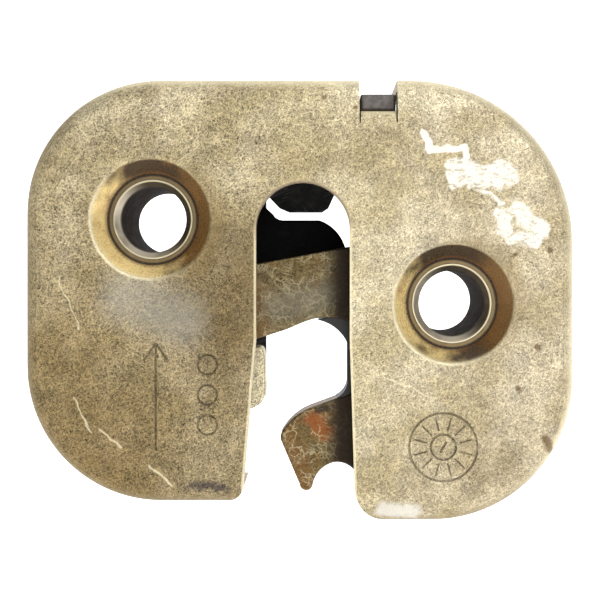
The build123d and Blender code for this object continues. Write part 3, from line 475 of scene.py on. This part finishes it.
# ------------------------------------------------------------------ finishes
class LATCH_OT_cover(bpy.types.Operator):
    """Worn yellow passivated zinc on the pressed cover"""

    bl_idname = "latch.cover"
    bl_label = "Cover finish"

    def execute(self, context):
        sizes, colours = context.scene.latch_sizes, context.scene.latch_colours
        graph = Graph("Yellow passivated zinc, pressed and worn")
        # the eye sees a dull gold sheet full of tiny specks and crossing scratches, paler to the right with painted
        # shade to the left and low, with a rim painted lit at the top and right, gold to brown dimples with painted
        # shade and a painted rim highlight, and a thin bright burr round the slot
        # how far each face turns to the painted light from the top right
        facing_light = graph.add("VectorMath.DOT_PRODUCT", graph.normal, PAINTED_LIGHT_DIRECTION)
        base, rough, height = worn_zinc(graph, colours, sizes.grain)
        base = shaded_sheet(graph, base)
        base = rolled_edge(graph, colours, base, facing_light)
        base, cone = dimples(graph, sizes, colours, base, facing_light)
        base = slot_edge(graph, sizes, colours, base)
        base = dirt_and_scores(graph, colours, base)
        painted = white_paint(graph)
        base = graph.add("Mix", painted, base, colours.paint)
        metallic = graph.add("Math.SUBTRACT", 0.74, graph.add("Math.MULTIPLY", painted, 0.7))
        metallic = graph.add("Math.SUBTRACT", metallic, graph.add("Math.MULTIPLY", cone, 0.32))
        rough = graph.add("Math.ADD", rough, graph.add("Math.MULTIPLY", painted, 0.25))
        rough = graph.add("Math.SUBTRACT", rough, graph.add("Math.MULTIPLY", cone, 0.12))
        calm = graph.add("Math.SUBTRACT", 1.0, graph.add("Math.MULTIPLY", cone, 0.7))
        height = graph.add("Math.MULTIPLY", height, calm)
        dress(graph.finish(base, metallic, rough, height, 0.05), "front_cover")
        return {"FINISHED"}


class LATCH_OT_claw(bpy.types.Operator):
    """Yellow zinc with brown stains on the claw and the pawl"""

    bl_idname = "latch.claw"
    bl_label = "Claw and pawl finish"

    def execute(self, context):
        sizes, colours = context.scene.latch_sizes, context.scene.latch_colours
        graph = Graph("Yellow passivated zinc, blanked and stained")
        # the eye sees a darker gold plate, scratched grey where the striker rubs, brown at its edges
        base, rough, height = worn_zinc(graph, colours, sizes.grain * 1.2, 0.1)
        base = graph.tint(base, "#8c836f")
        stains = graph.any_of(
            graph.stroke((-7.2, -3.6), (-6.0, -10.6), 1.3, 1.0, 2.4),
            graph.stroke((-2.6, -24.0), (0.2, -31.6), 1.7, 1.2, 2.6),
            graph.add("MapRange", graph.noise(2.2, 3.0, None, 17.0), 0.56, 0.72),
        )
        base = graph.add("Mix", graph.add("Math.MULTIPLY", stains, 0.6), base, linear("#6f4a22"))
        rust = graph.stroke((1.6, -22.6), (3.2, -24.4), 1.3, 0.9, 2.0)
        base = graph.add("Mix", graph.add("Math.MULTIPLY", rust, 0.65), base, linear("#8e4a1c"))
        net = graph.any_of(
            graph.crackle(1.3, 40.0),
            graph.scratches(55, 5.0, 0.3, 50.0),
            graph.scratches(-25, 4.0, 0.3, 55.0),
        )
        base = graph.add("Mix", graph.add("Math.MULTIPLY", net, 0.55), base, linear("#b9ae8a"))
        rubbed = graph.stroke((-3.5, -6.5), (3.5, -4.8), 2.2, 1.6, 2.4)
        base = graph.add("Mix", graph.add("Math.MULTIPLY", rubbed, 0.5), base, linear("#6f6c60"))
        # painted shadow of the cover darkens the plate towards its pivot, under the cover
        deep = graph.add("MapRange", graph.x, 2.4, 5.6)
        base = graph.add("Mix", graph.add("Math.MULTIPLY", deep, 0.95), base, linear("#241b14"))
        chip = graph.stroke((2.2, -21.3), (3.4, -21.0), 0.5, 0.3, 0.8)
        base = graph.add("Mix", graph.add("Math.MULTIPLY", chip, 0.85), base, colours.dirt_and_shade)
        # cut edges are rough, grey-brown sheared steel
        cut = graph.add("MapRange", graph.add("Math.ABSOLUTE", graph.normal_y), 0.7, 0.2, 0.0, 0.5)
        base = graph.add("Mix", cut, base, colours.stain_brown)
        dress(graph.finish(base, 0.8, rough, height, 0.035), "claw")

        graph = Graph("Yellow passivated zinc, blanked, pale")
        # the eye sees a pale clean nose beside the arm, darker towards the pivot
        base, rough, height = worn_zinc(graph, colours, sizes.grain)
        hidden = graph.add("MapRange", graph.x, -8.0, -12.0)
        base = graph.add("Mix", graph.add("Math.MULTIPLY", hidden, 0.5), base, colours.stain_brown)
        dress(graph.finish(base, 0.75, rough, height, 0.025), "pawl")

        graph = Graph("Yellow passivated zinc, blanked, clean")
        # the eye sees an even yellow lever with faint rainbow mottling
        base, rough, height = worn_zinc(graph, colours, sizes.grain * 1.4, 0.25)
        dress(graph.finish(base, 0.85, rough, height, 0.02), "lock_lever")
        return {"FINISHED"}


class LATCH_OT_plates(bpy.types.Operator):
    """Black phosphate on the rear plate and the release lever"""

    bl_idname = "latch.plates"
    bl_label = "Plate finish"

    def execute(self, context):
        colours = context.scene.latch_colours
        graph = Graph("Black phosphated steel, oiled")
        # the eye sees a matt near-black plate with faint grey scuffs, and a grey sheared lug
        cloud = graph.noise(2.0, 4.0, None, 3.0)
        speck = graph.noise(0.25, 2.0, None, 8.0)
        scuff = graph.any_of(graph.scratches(20, 9.0, 0.4, 2.0, 0.3), graph.scratches(-52, 7.0, 0.35, 6.0, 0.3))
        cloudy = graph.add("MapRange", cloud, 0.4, 0.7, 0.0, 0.6)
        base = graph.add("Mix", cloudy, colours.phosphate, linear("#34322f"))
        base = graph.add("Mix", graph.add("Math.MULTIPLY", scuff, 0.5), base, linear("#6b6762"))
        lug = graph.add("MapRange", graph.y, 9.0, 3.0)
        lug = graph.add("Math.MULTIPLY", lug, graph.add("MapRange", graph.z, 18.0, 20.5))
        torn = graph.add("MapRange", graph.noise(0.8, 3.0, None, 4.0), 0.35, 0.65)
        face = graph.add("Mix", torn, colours.sheared, linear("#524d49"))
        base = graph.add("Mix", lug, base, face)
        rough = graph.add("MapRange", speck, 0.3, 0.7, 0.62, 0.46)
        dress(graph.finish(base, 0.55, rough, speck, 0.012), "rear_plate", "release_lever")
        return {"FINISHED"}


class LATCH_OT_steel(bpy.types.Operator):
    """Turned bushes and washers, bright pins, rivets and posts"""

    bl_idname = "latch.steel"
    bl_label = "Steel finish"

    def execute(self, context):
        sizes, colours = context.scene.latch_sizes, context.scene.latch_colours
        bore, middle, outside = sizes.bore_radius, sizes.mouth_radius, sizes.bush_radius
        for name, x, z in (("claw", sizes.claw_x, sizes.claw_z), ("pawl", sizes.pawl_x, sizes.pawl_z)):
            graph = Graph(f"Turned steel, oily, {name} side")
            # the eye sees fine rings cut by the lathe, grey-brown, with a mouth painted bright towards the top right
            # and dark away from it
            away = graph.reach(x, z)
            wobble = graph.add("Math.MULTIPLY", graph.noise(1.5, 2.0), 0.12)
            turns = graph.add("Math.MULTIPLY", graph.add("Math.ADD", away, wobble), 2 * pi / LATHE_FEED)
            rings = graph.add("Math.SINE", turns)
            blotch = graph.noise(1.2, 3.0, None, 6.0)
            stained = graph.add("MapRange", blotch, 0.4, 0.7, 0.1, 0.8)
            base = graph.add("Mix", stained, colours.turned, linear("#3b3226"))
            mouth = graph.add("MapRange", away, middle + 0.15, middle - 0.15, 0.0, 0.85)
            mouth = graph.add("Math.MULTIPLY", mouth, graph.add("MapRange", graph.y, 3.6, 2.9))
            facing_light = graph.add("VectorMath.DOT_PRODUCT", graph.normal, PAINTED_LIGHT_DIRECTION)
            lit = graph.add("MapRange", facing_light, -0.35, 0.45)
            # painted light and shade on the mouth, by how it faces the top right
            mouth_painted_light = graph.add("Mix", lit, linear("#4a4339"), linear("#dad0bc"))
            base = graph.add("Mix", mouth, base, mouth_painted_light)
            # painted highlight, a thin bright line round the mouth's outer edge
            lip_highlight = graph.add("MapRange", away, middle - 0.2, middle - 0.08, 0.0, 0.75)
            lip_highlight = graph.add("Math.MULTIPLY", lip_highlight, graph.add("MapRange", away, middle + 0.16, middle + 0.04))
            base = graph.add("Mix", lip_highlight, base, linear("#efe3bd"))
            # painted shade darkens the bore's wall
            inside = graph.add("MapRange", away, bore + 0.15, bore + 0.05)
            inside = graph.add("Math.MULTIPLY", inside, graph.add("MapRange", graph.y, 3.1, 3.8, 0.75, 1.0))
            base = graph.add("Mix", inside, base, linear("#2a211a"))
            shoulder = graph.add("MapRange", away, middle + 0.16, middle + 0.3, 0.0, 0.6)
            base = graph.add("Mix", shoulder, base, linear("#8c744a"))
            # painted shade at the bush's outer edge, beside the slit to the dimple
            bush_gap_shade = graph.add("MapRange", away, outside - 0.12, outside - 0.02, 0.0, 0.85)
            base = graph.add("Mix", bush_gap_shade, base, colours.dirt_and_shade)
            rough = graph.add("MapRange", blotch, 0.35, 0.7, 0.3, 0.48)
            rough = graph.add("Math.ADD", rough, graph.add("Math.MULTIPLY", inside, 0.45))
            metallic = graph.add("Math.SUBTRACT", 0.9, graph.add("Math.MULTIPLY", inside, 0.85))
            shine = graph.add("Math.SUBTRACT", 0.5, graph.add("Math.MULTIPLY", inside, 0.45))
            material = graph.finish(base, metallic, rough, rings, 0.002, specular_ior_level=shine)
            dress(material, f"{name}_bush", f"{name}_washer")

        graph = Graph("Bright zinc plated steel")
        # the eye sees small bright silvery heads with soft grey mottling
        blotch = graph.noise(0.9, 3.0, None, 2.0)
        base = graph.add("Mix", graph.add("MapRange", blotch, 0.4, 0.7, 0.0, 0.5), colours.bright, linear("#8f8b82"))
        rough = graph.add("MapRange", blotch, 0.35, 0.7, 0.26, 0.42)
        dress(
            graph.finish(base, 1.0, rough, blotch, 0.01),
            "pawl_pin",
            "pawl_spring_post",
            "claw_spring_post",
            "stop_spacer",
            "release_rivet",
            "lock_rivet",
            "lever_washers",
            "lever_spring_posts",
        )
        return {"FINISHED"}


class LATCH_OT_mouldings(bpy.types.Operator):
    """Plastic lining, rubber buffer and rod clips"""

    bl_idname = "latch.mouldings"
    bl_label = "Moulding finish"

    def execute(self, context):
        colours = context.scene.latch_colours
        graph = Graph("Black plastic, moulded, greasy")
        # the eye sees a nearly black, faintly satin lining with a film of grease
        film = graph.noise(1.6, 3.0)
        base = graph.add("Mix", graph.add("MapRange", film, 0.4, 0.7, 0.0, 0.5), colours.plastic, linear("#2a241c"))
        dress(graph.finish(base, 0.0, graph.add("MapRange", film, 0.35, 0.7, 0.38, 0.6), film, 0.02), "claw_sleeve")

        graph = Graph("Black rubber, moulded")
        # the eye sees a soft, matt black block with a little dust in its pores
        pores = graph.noise(0.35, 3.0)
        dust = graph.add("MapRange", graph.noise(2.5, 3.0, None, 9.0), 0.5, 0.75, 0.0, 0.35)
        base = graph.add("Mix", dust, colours.rubber, linear("#161513"))
        rough = graph.add("MapRange", pores, 0.3, 0.7, 0.7, 0.85)
        material = graph.finish(base, 0.0, rough, pores, 0.02, specular_ior_level=0.08)
        dress(material, "buffer")

        graph = Graph("Natural acetal, moulded")
        # the eye sees a milky white clip that lets a little light in
        tint = graph.noise(1.8, 2.0)
        base = graph.add("Mix", graph.add("MapRange", tint, 0.4, 0.7, 0.0, 0.5), colours.acetal, linear("#cfcab8"))
        material = graph.finish(base, 0.0, 0.42, tint, 0.01, subsurface_weight=0.2, subsurface_scale=0.0008)
        dress(material, "release_rod_clip", "lock_rod_clip")
        return {"FINISHED"}


# ------------------------------------------------------------------ springs
def swept_wire(name, path, radius, sides=20):
    """A round wire along a path.

    Ring i of the surface is P(i) + r(i) (cos v N(i) + sin v B(i)), v from 0 to 2 pi. T is the path's
    unit tangent, N is the part of +Y square to it and B = T x N. Near each end r(i) falls off as a
    quarter circle, so the wire closes in a rounded tip.
    """
    steps = np.linalg.norm(np.diff(path, axis=0), axis=1)
    run = np.concatenate([[0.0], np.cumsum(steps)])
    tangent = np.gradient(path, run, axis=0)
    tangent /= np.linalg.norm(tangent, axis=1, keepdims=True)
    up = np.array([0.0, 1.0, 0.0])
    normal = up - tangent * (tangent @ up)[:, None]
    normal /= np.linalg.norm(normal, axis=1, keepdims=True)
    other = np.cross(tangent, normal)
    inward = np.clip(np.minimum(run, run[-1] - run) / radius, 0.0, 1.0)
    swell = radius * np.sqrt(np.clip(1 - (1 - inward) ** 2, 0.02, 1.0))
    turn = np.arange(sides) * 2 * pi / sides
    ring = np.cos(turn)[None, :, None] * normal[:, None, :] + np.sin(turn)[None, :, None] * other[:, None, :]
    points = (path[:, None, :] + swell[:, None, None] * ring).reshape(-1, 3)
    points = np.vstack([points, path[0], path[-1]])
    count = len(path)
    row, column = np.meshgrid(np.arange(count - 1), np.arange(sides), indexing="ij")
    after = (column + 1) % sides
    quads = np.stack(
        [row * sides + column, row * sides + after, (row + 1) * sides + after, (row + 1) * sides + column], axis=-1
    ).reshape(-1, 4)
    place = np.arange(sides)
    following = (place + 1) % sides
    last = (count - 1) * sides
    first_cap = np.stack([np.full(sides, count * sides), following, place], axis=-1)
    last_cap = np.stack([np.full(sides, count * sides + 1), last + place, last + following], axis=-1)
    mesh = bpy.data.meshes.new(name)
    mesh.from_pydata((points / 1000).tolist(), [], quads.tolist() + first_cap.tolist() + last_cap.tolist())
    mesh.polygons.foreach_set("use_smooth", np.ones(len(mesh.polygons), dtype=bool))
    made = bpy.data.objects.new(name, mesh)
    bpy.context.collection.objects.link(made)
    return made


def coil_path(x, z, rear, radius, wire, turns, start, rear_leg, front_leg):
    """The centre line of a torsion spring, from its rear leg over its coil to its front leg.

    The coil is (x + R cos a, rear - p a / 360, z + R sin a) for a from start over the turns, with
    pitch p = 2.1 wire. Each leg runs on along the tangent, easing out of the coil's curve.
    """
    pitch = COIL_RISE * wire
    angle = np.radians(start + np.linspace(0.0, 360.0 * turns, int(64 * turns)))
    deep = rear - pitch * np.linspace(0.0, turns, len(angle))
    coil = np.stack([x + radius * np.cos(angle), deep, z + radius * np.sin(angle)], axis=-1)
    slope = pitch / (2 * pi)
    speed = np.hypot(radius, slope)

    def tangent(at):
        return np.array([-radius * np.sin(at), -slope, radius * np.cos(at)]) / speed

    tips = wire * (1 - np.cos(np.linspace(0.0, pi / 2, 7)))
    back = np.concatenate([rear_leg - tips[:-1], np.linspace(rear_leg - wire, 0.15, 12)])
    ahead = np.concatenate([np.linspace(0.15, front_leg - wire, 12), front_leg - tips[:-1][::-1]])
    first = coil[0] - back[:, None] * tangent(angle[0])
    final = coil[-1] + ahead[:, None] * tangent(angle[-1])
    return np.concatenate([first, coil, final])


# name, body that its front leg bears on, (x, z, depth of its rear turn), and
# (coil radius, wire radius, turns, start angle, rear leg, front leg), in millimetres and degrees
SPRINGS = (
    ("pawl_spring", "pawl", (-21.18, 5.95, 13.55), (8.2, 0.6, 3.05, -1260.613, 11.0, 12.6)),
    ("claw_spring", "claw", (21.18, -5.95, 13.4), (8.45, 0.75, 2.05, 75.0, 11.0, 9.0)),
    ("release_spring", "release_lever", (-32.2013, -20.3327, 21.95), (3.75, 0.45, 2.125, -45.0, 5.0, 7.5)),
    ("lock_spring", "lock_lever", (-10.1, 13.3, 22.35), (2.8, 0.45, 2.3628, 205.656, 7.3355, 7.652)),
)


class LATCH_OT_springs(bpy.types.Operator):
    """Wound wire springs"""

    bl_idname = "latch.springs"
    bl_label = "Springs"

    def execute(self, context):
        colours = context.scene.latch_colours
        graph = Graph("Drawn spring wire, oiled")
        # the eye sees smooth dark grey wire with long faint drawing lines and a film of oil
        cloud = graph.noise(1.4, 3.0)
        base = graph.add("Mix", graph.add("MapRange", cloud, 0.4, 0.7, 0.0, 0.6), colours.wire, linear("#4a3c2c"))
        material = graph.finish(base, 0.95, graph.add("MapRange", cloud, 0.35, 0.7, 0.28, 0.45), cloud, 0.008)
        for name, body, place, winding in SPRINGS:
            x, z, rear = place
            radius, wire, turns, start, rear_leg, front_leg = winding
            path = coil_path(x, z, rear, radius, wire, turns, start, rear_leg, front_leg)
            made = swept_wire(f"{name}_wire", path, wire)
            made.data.materials.append(material)
            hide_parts(name)
            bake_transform(made)
            dress(material, name)
        return {"FINISHED"}


# ------------------------------------------------------------------ stage
def sweep_surface(reach, floor_z, rise_y, radius, height=1.3):
    """A floor that curves up into a backdrop.

    The profile is (y, floor) up to rise_y, then (rise_y + R sin t, floor + R (1 - cos t)) for t from
    0 to pi / 2, then straight up to a height; it is carried from x = -reach to x = reach.
    """
    t = np.linspace(0, pi / 2, 25)
    y = np.concatenate([np.linspace(-reach, rise_y, 12), rise_y + radius * np.sin(t), np.full(6, rise_y + radius)])
    wall = floor_z + np.linspace(radius, height, 6)
    z = np.concatenate([np.full(12, floor_z), floor_z + radius * (1 - np.cos(t)), wall])
    x = np.linspace(-reach, reach, 2)
    points = np.stack([np.tile(x[:, None], (1, len(y))), np.tile(y, (2, 1)), np.tile(z, (2, 1))], axis=-1)
    count = len(y)
    at = np.arange(count - 1)
    faces = np.stack([at, at + count, at + count + 1, at + 1], axis=-1)
    mesh = bpy.data.meshes.new("Sweep")
    mesh.from_pydata(points.reshape(-1, 3).tolist(), [], faces.tolist())
    mesh.polygons.foreach_set("use_smooth", np.ones(len(mesh.polygons), dtype=bool))
    made = bpy.data.objects.new("Sweep", mesh)
    bpy.context.collection.objects.link(made)
    return made


def softbox(name, power, size, place, target=(0.0, 0.0, 0.0), tint=(1.0, 1.0, 1.0)):
    """A square area light at a place, aimed at a target."""
    data = bpy.data.lights.new(name, "AREA")
    data.energy, data.size, data.color = power, size, tint
    made = bpy.data.objects.new(name, data)
    made.location = place
    made.rotation_euler = (Vector(target) - Vector(place)).to_track_quat("-Z", "Y").to_euler()
    bpy.context.collection.objects.link(made)
    return made


class LATCH_OT_stage(bpy.types.Operator):
    """White sweep, soft lights, surroundings and camera"""

    bl_idname = "latch.stage"
    bl_label = "Stage"

    def execute(self, context):
        sizes = context.scene.latch_stage
        graph = Graph("White paper sweep, matt")
        # the eye sees plain white paper without a horizon
        paper = graph.finish(
            (0.92, 0.92, 0.92), 0.0, 0.9, emission_color=(1.0, 1.0, 1.0, 1.0), emission_strength=0.8
        )
        sweep = sweep_surface(sizes.floor_reach, sizes.floor_z, sizes.sweep_y, sizes.sweep_r)
        sweep.data.materials.append(paper)
        lights = [
            softbox("Key softbox", sizes.key, 0.42, (0.2, -0.5, 0.34)),
            softbox("Top softbox", sizes.top, 0.6, (0.05, -0.05, 0.62)),
            softbox("Left softbox", sizes.fill, 0.5, (-0.6, -0.35, 0.1)),
        ]
        data = bpy.data.cameras.new("Camera")
        data.lens, data.shift_x, data.shift_y = sizes.lens, sizes.shift_x, sizes.shift_y
        data.clip_start = 0.01
        camera = bpy.data.objects.new("Camera", data)
        camera.location = sizes.camera
        camera.rotation_euler = (radians(90), 0, 0)
        bpy.context.collection.objects.link(camera)
        context.scene.camera = camera

        world = bpy.data.worlds.new("Studio")
        world.use_nodes = True
        tree = world.node_tree
        background = tree.nodes["Background"]
        background.inputs["Color"].default_value = (1.0, 1.0, 1.0, 1.0)
        # the surroundings look white beyond the sweep, and light the latch more dimly
        seen = tree.nodes.new("ShaderNodeLightPath")
        strength = tree.nodes.new("ShaderNodeMapRange")
        strength.inputs["To Min"].default_value = sizes.world
        tree.links.new(seen.outputs["Is Camera Ray"], strength.inputs["Value"])
        tree.links.new(strength.outputs["Result"], background.inputs["Strength"])
        context.scene.world = world
        context.scene.view_settings.view_transform = "Standard"
        return {"FINISHED"}


# ------------------------------------------------------------------ panel and registration
class LATCH_PT_panel(bpy.types.Panel):
    """Buttons of the latch's operators"""

    bl_idname = "LATCH_PT_panel"
    bl_label = "Rotary claw door latch"
    bl_space_type = "VIEW_3D"
    bl_region_type = "UI"
    bl_category = "Latch"

    def draw(self, context):
        for operator in OPERATORS:
            self.layout.operator(operator.bl_idname)


GROUPS = {"latch_sizes": LatchSizes, "latch_colours": LatchColours, "latch_stage": StageSizes}
OPERATORS = (
    LATCH_OT_cover,
    LATCH_OT_claw,
    LATCH_OT_plates,
    LATCH_OT_steel,
    LATCH_OT_mouldings,
    LATCH_OT_springs,
    LATCH_OT_stage,
)


def register():
    """Register the classes and hang the properties on the scene."""
    for kind in (*GROUPS.values(), *OPERATORS, LATCH_PT_panel):
        bpy.utils.register_class(kind)
    for name, group in GROUPS.items():
        setattr(bpy.types.Scene, name, bpy.props.PointerProperty(type=group))


def unregister():
    """Take the properties and classes away again."""
    for name in GROUPS:
        delattr(bpy.types.Scene, name)
    for kind in reversed((*GROUPS.values(), *OPERATORS, LATCH_PT_panel)):
        bpy.utils.unregister_class(kind)


def main():
    """Register the add-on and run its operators."""
    register()
    bpy.ops.latch.cover()
    bpy.ops.latch.claw()
    bpy.ops.latch.plates()
    bpy.ops.latch.steel()
    bpy.ops.latch.mouldings()
    bpy.ops.latch.springs()
    bpy.ops.latch.stage()


if __name__ == "__main__":
    main()
